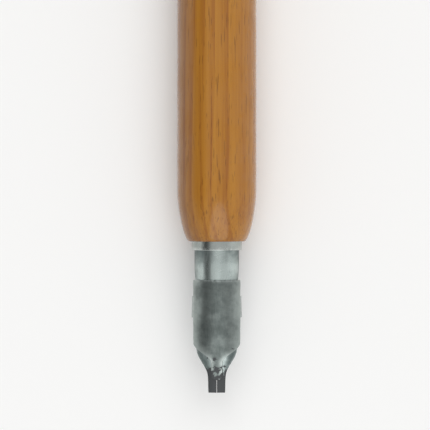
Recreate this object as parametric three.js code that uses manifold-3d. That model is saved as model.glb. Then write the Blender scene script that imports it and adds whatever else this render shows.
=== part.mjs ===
// A dip pen for broad-edge lettering. A turned wooden holder has a rolled steel ferrule let into its
// nose. A crown of four spring leaves stands inside the ferrule, and the arched shank of a stamped
// steel nib slides in between the leaves and the ferrule. A slip-on reservoir saddles the nib, with
// two lugs folded under the nib's sides and a tongue that reaches almost to the writing edge.
//
// Millimetres, +Z up. The pen lies on its barrel along Y: the writing edge is at the -Y end, the
// nib's arched back is up, and the origin is the middle of the space that the pen covers on the table.

import * as THREE from "three";
import { mergeVertices, toCreasedNormals } from "three/addons/utils/BufferGeometryUtils.js";
import Module from "manifold-3d";

const wasm = await Module();
wasm.setup();

// Sizes of the wooden holder. Lengths run back from its front face.
const holderLength = 170;
const barrelDiameter = 9.1;
const barrelEnd = 100;
const noseLength = 5.6;
const noseLip = 0.3;
const tailDiameter = 6.4;
const tailDome = 3.2;
const backFaceDiameter = 2.6;
const mouthBevel = 0.12;
const boreRunout = 0.3;

// Sizes of the rolled ferrule. Lengths run back from its rim, which stands proud of the wood.
const ferruleWall = 0.2;
const ferruleProud = 1;
const beadLength = 1.1;
const beadDepth = 0.25;
const rearLip = 0.6;
const seamWidth = 0.12;

// Sizes of the crown clip inside the ferrule.
const crownSheet = 0.2;
const crownEyeDiameter = 1.4;
const leafSetBack = 0.8;
const leafLeadIn = 2.2;
const leafTurnIn = 0.4;
const leafRootBend = 3;
const leafRootRadius = 1.45;

// Sizes of the stamped nib. Lengths run back from its writing edge.
const nibSheet = 0.25;
const edgeSheet = 0.12;
const edgeWidth = 1.9;
const bladeLength = 2.2;
const bladeWidth = 2.14;
const shoulderLength = 2.6;
const shoulderWidth = 4.6;
const bodyLength = 7.7;
const bodySwell = 2.7;
const bodyWidth = 4.8;
const waistLength = 2.7;
const waistRise = 0.7;
const shankLength = 15.8;
const shankRadius = 2.55;
const shankGrip = 14.75;
const heelRound = 1;
const ventDiameter = 1.5;
const ventSetBack = 4.4;
const slitWidth = 0.1;

// How far the nib's back lies below the top of its shank, at each place along it.
const edgeDrop = 2.35;
const bladeDrop = 1.85;
const shoulderDrop = 0.95;
const bodyDrop = 0.5;
const waistDrop = 0.06;

// Sizes of the slip-on reservoir.
const reservoirSheet = 0.2;
const inkGap = 0.15;
const tongueGap = 0.07;
const tongueSetBack = 1.5;
const tongueWidth = 1.2;
const tongueTipWidth = 0.4;
const tongueRound = 0.5;
const flareSetBack = 1.3;
const flareLength = 2.2;
const saddleOverhang = 0.4;
const saddleCorner = 0.9;
const lugLength = 2.4;
const lugReach = 0.6;
const lugBend = 0.12;

// Clearances between the pieces.
const glueLine = 0.05;
const shankClearance = 0.1;
const leafClearance = 0.08;
const heelGap = 0.3;
const crownSeatGap = 0.05;
const lugGap = 0.1;

// One overrun serves every cut.
const cutOverrun = 1;

// Angles in degrees. A wrap angle is how far a bent sheet reaches to each side of its spine.
const edgeWrapAngle = 12;
const bladeWrapAngle = 17;
const shoulderWrapAngle = 43;
const bodyFrontWrapAngle = 57;
const bodyRearWrapAngle = 74;
const shankWrapAngle = 102;
const heelWrapAngle = 88;
const leafWrapAngle = 32;
const drillPointAngle = 118;
const creaseAngle = 35;

// Shares of the sizes that they shape.
const noseFullnessShare = 1.55;
const tailCurveShare = 0.35;
const saddleCornerShare = 0.85;
const lugPlaceShare = 0.75;

// How many copies there are, and how finely the round forms are divided.
const leafCount = 4;
const turnSides = 24;
const ventSides = 16;
const noseSteps = 9;
const tailSteps = 6;
const domeSteps = 6;
const rimSteps = 4;
const beadSteps = 6;
const leafRows = 10;
const leafColumns = 5;
const bladeRows = 5;
const shoulderRows = 6;
const bodyRows = 8;
const waistRows = 5;
const heelRows = 3;
const nibColumns = 18;
const tongueRows = 4;
const flareRows = 7;
const saddleRows = 2;
const lugRows = 3;
const cornerRows = 3;
const saddleColumns = 14;
const lugColumns = 4;

const radians = THREE.MathUtils.degToRad;

// Places along the holder, the ferrule and the nib that follow from their sizes.
const beadStart = shankGrip + heelGap;
const crownStart = beadStart + beadLength + crownSeatGap;
const lipStart = crownStart + crownSheet + crownSeatGap;
const ferruleLength = lipStart + ferruleWall;
const bladeEnd = bladeLength;
const shoulderEnd = bladeEnd + shoulderLength;
const bodyFull = shoulderEnd + bodySwell;
const bodyEnd = shoulderEnd + bodyLength;
const waistTop = bodyEnd + waistRise;
const waistEnd = bodyEnd + waistLength;
const nibLength = waistEnd + shankLength;
const heelStart = nibLength - heelRound;
const flareStart = shoulderEnd - flareSetBack;
const flareEnd = flareStart + flareLength;
const saddleRear = bodyEnd + saddleOverhang;
const cornerStart = saddleRear - saddleCorner;
const lugFront = flareEnd + (cornerStart - flareEnd - lugLength) * lugPlaceShare;
const lugRear = lugFront + lugLength;

// Radii that seat one piece in the next.
const barrelRadius = barrelDiameter / 2;
const ferruleInner = shankRadius + shankClearance;
const ferruleOuter = ferruleInner + ferruleWall;
const boreRadius = ferruleOuter + glueLine;
const boreDepth = ferruleLength - ferruleProud + boreRunout;
const leafRadius = shankRadius - nibSheet - leafClearance;

// Even divisions from one value to another, both ends included.
function evenly(from, to, count) {
  return Array.from({ length: count + 1 }, (_, i) => from + ((to - from) * i) / count);
}

// Several runs of divisions in one row, each starting where the last one ends.
function inTurn(...runs) {
  return runs.flatMap((run, i) => (i === 0 ? run : run.slice(1)));
}

// A smooth curve through a list of [place, value] pairs that never overshoots them (a monotone
// cubic). It gives the value at any place between the first and the last.
function smoothThrough(pairs) {
  const places = pairs.map((pair) => pair[0]);
  const values = pairs.map((pair) => pair[1]);
  const last = places.length - 1;
  const steps = places.slice(1).map((place, i) => place - places[i]);
  const rises = steps.map((step, i) => (values[i + 1] - values[i]) / step);
  const slopes = places.map((_, i) => {
    if (i === 0) return rises[0];
    if (i === last) return rises[last - 1];
    const product = rises[i - 1] * rises[i];
    return product <= 0 ? 0 : (2 * product) / (rises[i - 1] + rises[i]);
  });
  return (place) => {
    const at = THREE.MathUtils.clamp(place, places[0], places[last]);
    let i = 0;
    while (i < last - 1 && at > places[i + 1]) i += 1;
    const t = (at - places[i]) / steps[i];
    const back = 1 - t;
    const ends = values[i] * (1 + 2 * t) * back ** 2 + values[i + 1] * (3 - 2 * t) * t ** 2;
    return ends + steps[i] * t * back * (slopes[i] * back - slopes[i + 1] * t);
  };
}

// A closed solid from a bent sheet. The faces outer and inner give its two sides at a row and a
// column, keep says which cells of the grid are metal, and every open edge gets a wall.
function sheetGeometry(rows, columns, outer, inner, keep = () => true) {
  const wide = columns.length;
  const layer = rows.length * wide;
  const points = [outer, inner].flatMap((face) =>
    rows.flatMap((row) => columns.flatMap((column) => face(row, column))),
  );
  const faces = [];
  const edges = new Set();
  const quad = (a, b, c, d) => faces.push(a, b, c, a, c, d);
  for (let i = 0; i + 1 < rows.length; i += 1) {
    for (let j = 0; j + 1 < wide; j += 1) {
      if (!keep(i, j)) continue;
      const a = i * wide + j;
      const corners = [a, a + 1, a + wide + 1, a + wide];
      quad(...corners);
      quad(...corners.map((corner) => layer + corner).reverse());
      corners.forEach((corner, k) => edges.add(`${corner} ${corners[(k + 1) % corners.length]}`));
    }
  }
  for (const edge of edges) {
    const [from, to] = edge.split(" ").map(Number);
    if (!edges.has(`${to} ${from}`)) quad(to, from, layer + from, layer + to);
  }
  const geometry = new THREE.BufferGeometry();
  geometry.setAttribute("position", new THREE.Float32BufferAttribute(points, 3));
  geometry.setIndex(faces);
  return geometry;
}

// A geometry as a solid that can be joined and cut.
function solidOf(geometry) {
  const bare = geometry.clone();
  bare.deleteAttribute("normal");
  bare.deleteAttribute("uv");
  const merged = mergeVertices(bare);
  const triVerts = new Uint32Array(merged.index.array);
  const vertProperties = new Float32Array(merged.attributes.position.array);
  return new wasm.Manifold(new wasm.Mesh({ numProp: 3, vertProperties, triVerts }));
}

// A joined or cut solid as a geometry again.
function geometryOf(solid) {
  const mesh = solid.getMesh();
  const geometry = new THREE.BufferGeometry();
  geometry.setAttribute("position", new THREE.BufferAttribute(mesh.vertProperties, 3));
  geometry.setIndex(new THREE.BufferAttribute(mesh.triVerts, 1));
  return geometry;
}

// A round form turned about the pen's axis from [radius, y] pairs. One of its flats faces down.
function turned(profile) {
  const points = profile.map(([radius, y]) => new THREE.Vector2(radius, y));
  return new THREE.LatheGeometry(points, turnSides, Math.PI / turnSides);
}

// The holder's bore, drilled to a conical bottom and bevelled at its mouth.
function boreProfile() {
  const pointDepth = boreRadius / Math.tan(radians(drillPointAngle / 2));
  return [
    [0, boreDepth + pointDepth],
    [boreRadius, boreDepth],
    [boreRadius, mouthBevel],
    [boreRadius + mouthBevel, 0],
  ];
}

// The nose: from the thin lip round the ferrule it swells in a full curve to the barrel.
function noseProfile() {
  const lipRadius = boreRadius + noseLip;
  return evenly(1, 0, noseSteps).map((share) => {
    const toBarrel = share ** 2;
    const swell = (1 - toBarrel ** noseFullnessShare) ** (1 / noseFullnessShare);
    return [lipRadius + (barrelRadius - lipRadius) * swell, noseLength * (1 - toBarrel)];
  });
}

// The tail: a long taper that steepens a little as it goes, and a domed end with a small flat.
function tailProfile() {
  const tailRadius = tailDiameter / 2;
  const faceRadius = backFaceDiameter / 2;
  const domeStart = holderLength - tailDome;
  const taper = evenly(0, 1, tailSteps).map((share) => {
    const fall = share * (1 - tailCurveShare) + share ** 2 * tailCurveShare;
    const y = barrelEnd + (domeStart - barrelEnd) * share;
    return [barrelRadius + (tailRadius - barrelRadius) * fall, y];
  });
  const dome = evenly(0, Math.PI / 2, domeSteps).map((turn) => {
    const radius = faceRadius + (tailRadius - faceRadius) * Math.cos(turn);
    return [radius, domeStart + tailDome * Math.sin(turn)];
  });
  return [...inTurn(taper, dome), [0, holderLength]];
}

// How far the ferrule's wall is pressed in at a place y: the bead is one smooth wave.
function beadAt(y) {
  const share = THREE.MathUtils.clamp((y - beadStart) / beadLength, 0, 1);
  return (beadDepth * (1 - Math.cos(2 * Math.PI * share))) / 2;
}

// The ferrule: a thin tube with a rounded rim, a pressed bead that stops the nib's heel and holds
// the crown's washer, a rear lip turned in behind the washer, and the open seam of its rolled wall.
function ferruleSolid() {
  const half = ferruleWall / 2;
  const rim = evenly(0, Math.PI, rimSteps).map((turn) => [
    ferruleInner + half - half * Math.cos(turn),
    half - half * Math.sin(turn),
  ]);
  const bead = evenly(beadStart, beadStart + beadLength, beadSteps);
  const tube = turned([
    ...rim,
    ...bead.map((y) => [ferruleOuter - beadAt(y), y]),
    [ferruleOuter, ferruleLength],
    [ferruleInner - rearLip, ferruleLength],
    [ferruleInner - rearLip, lipStart],
    [ferruleInner, lipStart],
    ...bead.map((y) => [ferruleInner - beadAt(y), y]).reverse(),
    rim[0],
  ]);
  const tall = ferruleOuter + cutOverrun;
  const seam = new THREE.BoxGeometry(seamWidth, ferruleLength + 2 * cutOverrun, tall);
  seam.translate(0, ferruleLength / 2, -tall / 2);
  return solidOf(tube).subtract(solidOf(seam));
}

// One spring leaf of the crown: an arc of sheet round the pen's axis, centred on an angle. It
// rises from the washer, runs along the shank and turns in at its tip.
function leafGeometry(middle) {
  const root = crownStart + crownSheet / 2;
  const radiusAt = smoothThrough([
    [leafSetBack, leafRadius - leafTurnIn],
    [leafSetBack + leafLeadIn, leafRadius],
    [crownStart - leafRootBend, leafRadius],
    [root, leafRootRadius],
  ]);
  const rows = evenly(leafSetBack, root, leafRows);
  const columns = evenly(-radians(leafWrapAngle), radians(leafWrapAngle), leafColumns);
  const face = (inset) => (y, turn) => {
    const radius = radiusAt(y) - inset;
    return [radius * Math.sin(middle + turn), y, radius * Math.cos(middle + turn)];
  };
  return sheetGeometry(rows, columns, face(0), face(crownSheet));
}

// The crown: a washer with its eye, and the leaves that rise from it towards the mouth.
function crownSolid() {
  const eye = crownEyeDiameter / 2;
  const edge = ferruleInner - crownSeatGap;
  const crownEnd = crownStart + crownSheet;
  const washer = turned([
    [eye, crownStart],
    [edge, crownStart],
    [edge, crownEnd],
    [eye, crownEnd],
    [eye, crownStart],
  ]);
  let crown = solidOf(washer);
  for (let leaf = 0; leaf < leafCount; leaf += 1) {
    crown = crown.add(solidOf(leafGeometry((2 * Math.PI * leaf) / leafCount)));
  }
  return crown;
}

// The radius of an arch that has this width at this wrap angle.
const archOf = (width, wrapAngle) => width / 2 / Math.sin(radians(wrapAngle));

// The nib's arch: its radius, its wrap, its highest line and its thickness at each place along it.
const nibArch = smoothThrough([
  [0, archOf(edgeWidth, edgeWrapAngle)],
  [bladeEnd, archOf(bladeWidth, bladeWrapAngle)],
  [shoulderEnd, archOf(shoulderWidth, shoulderWrapAngle)],
  [bodyFull, archOf(bodyWidth, bodyFrontWrapAngle)],
  [bodyEnd, archOf(bodyWidth, bodyRearWrapAngle)],
  [waistEnd, shankRadius],
  [nibLength, shankRadius],
]);
const nibWrap = smoothThrough([
  [0, radians(edgeWrapAngle)],
  [bladeEnd, radians(bladeWrapAngle)],
  [shoulderEnd, radians(shoulderWrapAngle)],
  [bodyFull, radians(bodyFrontWrapAngle)],
  [bodyEnd, radians(bodyRearWrapAngle)],
  [waistEnd, radians(shankWrapAngle)],
  [heelStart, radians(shankWrapAngle)],
  [nibLength, radians(heelWrapAngle)],
]);
const nibTop = smoothThrough([
  [0, shankRadius - edgeDrop],
  [bladeEnd, shankRadius - bladeDrop],
  [shoulderEnd, shankRadius - shoulderDrop],
  [bodyFull, shankRadius - bodyDrop],
  [waistTop, shankRadius - waistDrop],
  [waistEnd, shankRadius],
  [nibLength, shankRadius],
]);
const nibThickness = smoothThrough([
  [0, edgeSheet],
  [bladeEnd, nibSheet],
  [nibLength, nibSheet],
]);

// A point of a sheet bent round the nib's arch, at a place y along it, at an angle from its spine
// and at a distance off its back.
function archPoint(y, turn, off) {
  const radius = nibArch(y) + off;
  return [radius * Math.sin(turn), y, nibTop(y) - nibArch(y) + radius * Math.cos(turn)];
}

// The nib: one arched sheet, thinned at the writing edge, with a vent and the slit that runs from
// it through the edge.
function nibSolid() {
  const rows = inTurn(
    evenly(0, bladeEnd, bladeRows),
    evenly(bladeEnd, shoulderEnd, shoulderRows),
    evenly(shoulderEnd, bodyEnd, bodyRows),
    evenly(bodyEnd, waistEnd, waistRows),
    [waistEnd, heelStart],
    evenly(heelStart, nibLength, heelRows),
  );
  const columns = evenly(-1, 1, nibColumns);
  const outer = (y, side) => archPoint(y, side * nibWrap(y), 0);
  const inner = (y, side) => archPoint(y, side * nibWrap(y), -nibThickness(y));
  const sheet = solidOf(sheetGeometry(rows, columns, outer, inner));
  const ventY = shoulderEnd + ventSetBack;
  const ventRadius = ventDiameter / 2;
  const tall = shankRadius + cutOverrun;
  const vent = new THREE.CylinderGeometry(ventRadius, ventRadius, tall, ventSides);
  vent.rotateX(Math.PI / 2);
  vent.translate(0, ventY, tall / 2);
  const slit = new THREE.BoxGeometry(slitWidth, ventY + cutOverrun, 2 * tall);
  slit.translate(0, (ventY - cutOverrun) / 2, 0);
  return sheet.subtract(solidOf(vent)).subtract(solidOf(slit));
}

// The share of the nib's own width, measured round the arch, that a strip of this width covers.
const coverShare = (width, y) => Math.asin(width / 2 / nibArch(y)) / nibWrap(y);

// The reservoir's outline as a share of the nib's width: a narrow tongue with a rounded end, a
// flare to the saddle, and a saddle as wide as the nib with rounded rear corners.
const reservoirShare = smoothThrough([
  [tongueSetBack, coverShare(tongueTipWidth, tongueSetBack)],
  [tongueSetBack + tongueRound, coverShare(tongueWidth, tongueSetBack + tongueRound)],
  [flareStart, coverShare(tongueWidth, flareStart)],
  [flareEnd, 1],
  [cornerStart, 1],
  [saddleRear, saddleCornerShare],
]);

// The gap under the reservoir: room for ink beneath the saddle, nearly closed at the tongue's end.
const reservoirGap = smoothThrough([
  [tongueSetBack, tongueGap],
  [flareStart, inkGap],
  [saddleRear, inkGap],
]);

// The height of the lugs' upper face: it clears the lowest side of all the body that it slides past.
const lugHeight =
  Math.min(
    ...evenly(shoulderEnd, lugRear, bodyRows).map((y) => archPoint(y, nibWrap(y), -nibSheet)[2]),
  ) - lugGap;

// A point of the reservoir's saddle or tongue, as a share of the width to one side.
function saddlePoint(y, share, off) {
  return archPoint(y, share * nibWrap(y) * reservoirShare(y), reservoirGap(y) + off);
}

// A point of a lug. It leaves the saddle's edge where a tight bend will end at the lugs' height,
// goes round that bend and runs in under the nib.
function lugPoint(y, { side, fold, reach }, off) {
  const hub = nibArch(y) + inkGap - lugBend;
  const centre = nibTop(y) - nibArch(y);
  const start = Math.acos((lugHeight + lugBend - centre) / hub);
  const turn = start + (Math.PI - start) * fold;
  const x = hub * Math.sin(start) + (lugBend + off) * Math.sin(turn) - lugReach * reach;
  const z = centre + hub * Math.cos(start) + (lugBend + off) * Math.cos(turn);
  return [side * x, y, z];
}

// The reservoir: saddle, tongue and lugs are one sheet, cut and folded.
function reservoirGeometry() {
  const rows = inTurn(
    evenly(tongueSetBack, tongueSetBack + tongueRound, tongueRows),
    evenly(tongueSetBack + tongueRound, flareStart, tongueRows),
    evenly(flareStart, flareEnd, flareRows),
    evenly(flareEnd, lugFront, saddleRows),
    evenly(lugFront, lugRear, lugRows),
    [lugRear, cornerStart],
    evenly(cornerStart, saddleRear, cornerRows),
  );
  const folds = evenly(0, 1, lugColumns).map((fold) => ({ fold, reach: 0 }));
  const lug = [...folds, { fold: 1, reach: 1 }];
  const columns = [
    ...lug.map((column) => ({ side: -1, ...column })).reverse(),
    ...evenly(-1, 1, saddleColumns).map((share) => ({ share })),
    ...lug.map((column) => ({ side: 1, ...column })),
  ];
  const face = (off) => (y, column) =>
    "share" in column ? saddlePoint(y, column.share, off) : lugPoint(y, column, off);
  const lugFirstRow = 2 * tongueRows + flareRows + saddleRows;
  const keep = (i, j) => {
    const onSaddle = j >= lug.length && j < lug.length + saddleColumns;
    return onSaddle || (i >= lugFirstRow && i < lugFirstRow + lugRows);
  };
  return sheetGeometry(rows, columns, face(reservoirSheet), face(0), keep);
}

// One named piece of the pen, shaded smooth across its gentle edges and sharp across the others.
function piece(name, geometry, color, roughness, metalness) {
  const material = new THREE.MeshStandardMaterial({ color, roughness, metalness });
  const mesh = new THREE.Mesh(toCreasedNormals(geometry, radians(creaseAngle)), material);
  mesh.name = name;
  return mesh;
}

const woodProfile = [...boreProfile(), ...noseProfile(), ...tailProfile()];
const wood = piece("wooden_holder", turned(woodProfile), "#a97843", 0.35, 0);
const ferrule = piece("ferrule_tube", geometryOf(ferruleSolid()), "#b9bfbd", 0.3, 1);
const crown = piece("crown_clip", geometryOf(crownSolid()), "#9aa2a3", 0.35, 1);
const nib = piece("nib", geometryOf(nibSolid()), "#aab3b0", 0.28, 1);
const reservoir = piece("ink_reservoir", reservoirGeometry(), "#5d6763", 0.38, 1);

// The ferrule and its crown stand proud of the wood.
const insert = new THREE.Group();
insert.add(ferrule, crown);
insert.position.y = -ferruleProud;

// The nib and its reservoir are pushed home, with the shank gripped inside the rim.
const writingEnd = new THREE.Group();
writingEnd.add(nib, reservoir);
writingEnd.position.y = insert.position.y + shankGrip - nibLength;

// The whole pen, on its barrel and centred along its length.
const pen = new THREE.Group();
pen.add(wood, insert, writingEnd);
pen.position.y = -(holderLength + writingEnd.position.y) / 2;
pen.position.z = barrelRadius * Math.cos(Math.PI / turnSides);

export default pen;
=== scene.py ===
"""Looks of a dip pen for broad-edge lettering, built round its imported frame.

The pen lies along Y on a pale floor, with its writing edge towards -Y and the nib's arched back up.
Every piece here is a finer surface with the size and place of the solid that it replaces, and has a
procedural finish of its own. Lengths are millimetres, and they become metres where a mesh, a lamp or
the camera is made. Places along the nib run back from its writing edge, along the ferrule from its
rim, and along the holder from its front face.
"""

import logging
import math
from collections.abc import Callable, Sequence
from dataclasses import dataclass, field
from enum import Enum
from typing import Any

import bpy
import numpy as np
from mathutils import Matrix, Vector


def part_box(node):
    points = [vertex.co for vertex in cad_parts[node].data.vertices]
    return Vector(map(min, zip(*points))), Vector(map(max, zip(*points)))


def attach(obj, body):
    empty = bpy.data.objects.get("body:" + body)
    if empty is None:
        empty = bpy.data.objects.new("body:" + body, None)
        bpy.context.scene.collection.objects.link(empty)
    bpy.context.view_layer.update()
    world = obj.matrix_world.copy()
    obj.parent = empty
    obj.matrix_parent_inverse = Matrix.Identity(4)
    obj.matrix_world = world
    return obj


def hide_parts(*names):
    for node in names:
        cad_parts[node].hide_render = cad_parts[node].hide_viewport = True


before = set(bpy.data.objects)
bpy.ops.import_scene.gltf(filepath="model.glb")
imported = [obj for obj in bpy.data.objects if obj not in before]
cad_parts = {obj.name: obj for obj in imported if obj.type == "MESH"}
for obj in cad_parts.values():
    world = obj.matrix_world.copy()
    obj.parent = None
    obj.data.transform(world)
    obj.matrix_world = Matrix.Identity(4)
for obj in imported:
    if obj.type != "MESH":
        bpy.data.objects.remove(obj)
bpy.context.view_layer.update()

Array = np.ndarray
Curve = Callable[[Array], Array]
Socket = bpy.types.NodeSocket
Pair = tuple[float, float]
Triple = tuple[float, float, float]

METRE = 1000.0
SHARP_ANGLE = 40.0
NOISE_MEAN = 0.5
NOISE_BAND = (0.3, 0.7)
LOG = logging.getLogger("dip_pen")


class Body(Enum):
    """The bodies of the frame that pieces ride on."""

    HOLDER = "holder"
    NIB = "nib"
    RESERVOIR = "reservoir"


class Mark(Enum):
    """Values that a mesh keeps at its points for its finish to read."""

    RIM = "rim"
    INK = "ink"
    # Plain dullness, and painted light: shade down the ferrule's and the nib's sides, a highlight on the
    # nib behind the saddle, shade on the reservoir's crest and a highlight down its sides.
    DULL = "dull"
    # End grain, whose stain also serves as painted shade on the steep nose and tail.
    END_GRAIN_AND_SHADE = "end"
    GRIP = "grip"


def smooth_through(*pairs: Pair) -> Curve:
    """Give a smooth curve through pairs of place and value that never overshoots them.

    Between two pairs the curve is the cubic with their values and slopes (Hermite form). The slope
    at a pair is the harmonic mean of the rises on its two sides, or zero where these differ in sign.

    Args:
        pairs: Places in rising order, each with its value.

    Returns:
        A function from an array of places to the array of values.
    """
    places, values = np.array(pairs, float).T
    steps = np.diff(places)
    rises = np.diff(values) / steps
    product = rises[:-1] * rises[1:]
    total = np.where(product > 0, rises[:-1] + rises[1:], 1.0)
    slopes = np.concatenate([rises[:1], np.maximum(product, 0) * 2 / total, rises[-1:]])

    def curve(place: Array) -> Array:
        """Give the values at these places.

        Args:
            place: The places. Past the first and the last pair the value stays level.

        Returns:
            One value for each place.
        """
        at = np.clip(place, places[0], places[-1])
        i = np.clip(np.searchsorted(places, at, side="right") - 1, 0, len(steps) - 1)
        share = (at - places[i]) / steps[i]
        back = 1 - share
        ends = values[i] * (1 + 2 * share) * back**2 + values[i + 1] * (3 - 2 * share) * share**2
        return ends + steps[i] * share * back * (slopes[i] * back - slopes[i + 1] * share)

    return curve


def in_turn(*runs: Array) -> Array:
    """Join runs of places, each of which starts where the last one ends."""
    return np.concatenate([runs[0], *(run[1:] for run in runs[1:])])


def eased(start: float, end: float, steps: int) -> Array:
    """Give places from start to end that lie closest together at the start (1 - cosine)."""
    return start + (end - start) * (1 - np.cos(np.linspace(0, np.pi / 2, steps + 1)))


@dataclass
class Shell:
    """A closed shell as whole arrays.

    Attributes:
        points: Corner points in millimetres, one row each.
        quads: Corner numbers of the four-sided faces, one row each.
        fans: Corner numbers of the three-sided faces at the poles, one row each.
        marks: Values at the corner points that the finish reads.
    """

    points: Array
    quads: Array
    fans: Array = field(default_factory=lambda: np.zeros((0, 3), int))
    marks: dict[Mark, Array] = field(default_factory=dict)

    def volume(self) -> float:
        """Work out the volume: a sixth of the sum of each triangle's a . (b x c).

        Returns:
            The volume, above zero where the faces point outwards and below it where they point in.
        """
        halves = [self.quads[:, :3], self.quads[:, [0, 2, 3]], self.fans]
        a, b, c = self.points[np.concatenate(halves)].transpose(1, 0, 2)
        return float(np.einsum("ij,ij->", a, np.cross(b, c)) / 6)

    def piece(self, name: str, place: Sequence[float]) -> bpy.types.Object:
        """Make the shell an object with its faces outwards.

        Args:
            name: The piece's name.
            place: Where the shell's own origin lies in the frame, in millimetres.

        Returns:
            The object. It sits at the frame's origin, and its place is in its mesh.
        """
        outwards = self.volume() > 0
        quads = self.quads if outwards else self.quads[:, ::-1]
        fans = self.fans if outwards else self.fans[:, ::-1]
        mesh = bpy.data.meshes.new(name)
        points = (self.points + np.array(place)) / METRE
        mesh.from_pydata(points, [], [*quads.tolist(), *fans.tolist()])
        for mark, values in self.marks.items():
            layer = mesh.attributes.new(mark.value, "FLOAT", "POINT")
            layer.data.foreach_set("value", values.astype(np.float32))
        mesh.shade_smooth()
        made = bpy.data.objects.new(name, mesh)
        bpy.context.scene.collection.objects.link(made)
        return made


def lathe(profile: Array, ripple: Array, marks: dict[Mark, Array]) -> Shell:
    """Carry an outline round the axis Y.

    A corner lies at its radius times the sine and the cosine of its turn. The outline starts and
    ends on the axis, and a fan closes each of these poles.

    Args:
        profile: Radius and place along the axis, one row each.
        ripple: What is added to the radius, for each row between the poles and each turn.
        marks: Values for each row of the outline.

    Returns:
        The closed shell.
    """
    rows, turns = ripple.shape
    turn = 2 * np.pi * np.arange(turns) / turns
    radius = profile[1:-1, :1] + ripple
    along = np.broadcast_to(profile[1:-1, 1:], ripple.shape)
    rings = np.stack([radius * np.sin(turn), along, radius * np.cos(turn)], axis=-1)
    poles = np.array([[0, profile[0, 1], 0], [0, profile[-1, 1], 0]])
    number = np.arange(rows * turns).reshape(rows, turns)
    ahead = np.roll(number, -1, axis=1)
    quads = np.stack([number[:-1], ahead[:-1], ahead[1:], number[1:]], axis=-1).reshape(-1, 4)
    first = np.stack([ahead[0], number[0], np.full(turns, rows * turns)], axis=-1)
    last = np.stack([number[-1], ahead[-1], np.full(turns, rows * turns + 1)], axis=-1)
    spread = {
        mark: np.concatenate([np.repeat(values[1:-1], turns), values[[0, -1]]])
        for mark, values in marks.items()
    }
    points = np.concatenate([rings.reshape(-1, 3), poles])
    return Shell(points, quads, np.concatenate([first, last]), spread)


def bent_sheet(outer: Array, inner: Array, keep: Array, marks: dict[Mark, Array]) -> Shell:
    """Close a bent sheet from the grids of its two sides.

    Corners of the outer grid that coincide become one. Each kept cell gives a face to both sides,
    and each edge that only one kept cell has gets a wall from side to side.

    Args:
        outer: Points of the outer side, rows by columns by three.
        inner: Points of the inner side, likewise.
        keep: Which cells are metal, one row and one column fewer.
        marks: Values at the grid's points, rows by columns.

    Returns:
        The closed shell.
    """
    size = outer.shape[0] * outer.shape[1]
    _, first, label = np.unique(
        outer.reshape(-1, 3).round(6), axis=0, return_index=True, return_inverse=True
    )
    number = first[label.ravel()].reshape(outer.shape[:2])
    corners = [number[:-1, :-1], number[:-1, 1:], number[1:, 1:], number[1:, :-1]]
    cells = np.stack(corners, axis=-1)[keep]
    start, end = cells.ravel(), np.roll(cells, -1, axis=1).ravel()
    lone = ~np.isin(start * size + end, end * size + start)
    start, end = start[lone], end[lone]
    walls = np.stack([end, start, size + start, size + end], axis=-1)
    quads = np.concatenate([cells, size + cells[:, ::-1], walls])
    used, quads = np.unique(quads, return_inverse=True)
    points = np.concatenate([outer.reshape(-1, 3), inner.reshape(-1, 3)])[used]
    kept = {mark: np.tile(values.ravel(), 2)[used] for mark, values in marks.items()}
    return Shell(points, quads.reshape(-1, 4), marks=kept)


def soften(piece: bpy.types.Object, width: float, steps: int = 2) -> None:
    """Round a piece's sharp edges.

    Args:
        piece: The piece.
        width: How far the rounding reaches from the edge, in millimetres.
        steps: How many faces the rounding has.
    """
    bevel = piece.modifiers.new("edge round", "BEVEL")
    bevel.width = width / METRE
    bevel.segments = steps
    bevel.limit_method = "ANGLE"
    bevel.angle_limit = math.radians(SHARP_ANGLE)
    bevel.use_clamp_overlap = False
    bevel.harden_normals = True


def colour(code: str) -> tuple[float, float, float, float]:
    """Turn a written colour into the linear values that a node takes, by the screen's own curve.

    Args:
        code: The colour as six hexadecimal digits.

    Returns:
        Red, green, blue, and one for full cover.
    """
    shares = np.array([int(code[i : i + 2], 16) for i in (0, 2, 4)]) / 255
    linear = np.where(shares > 0.04045, ((shares + 0.055) / 1.055) ** 2.4, shares / 12.92)
    return (*linear.tolist(), 1.0)


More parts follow.
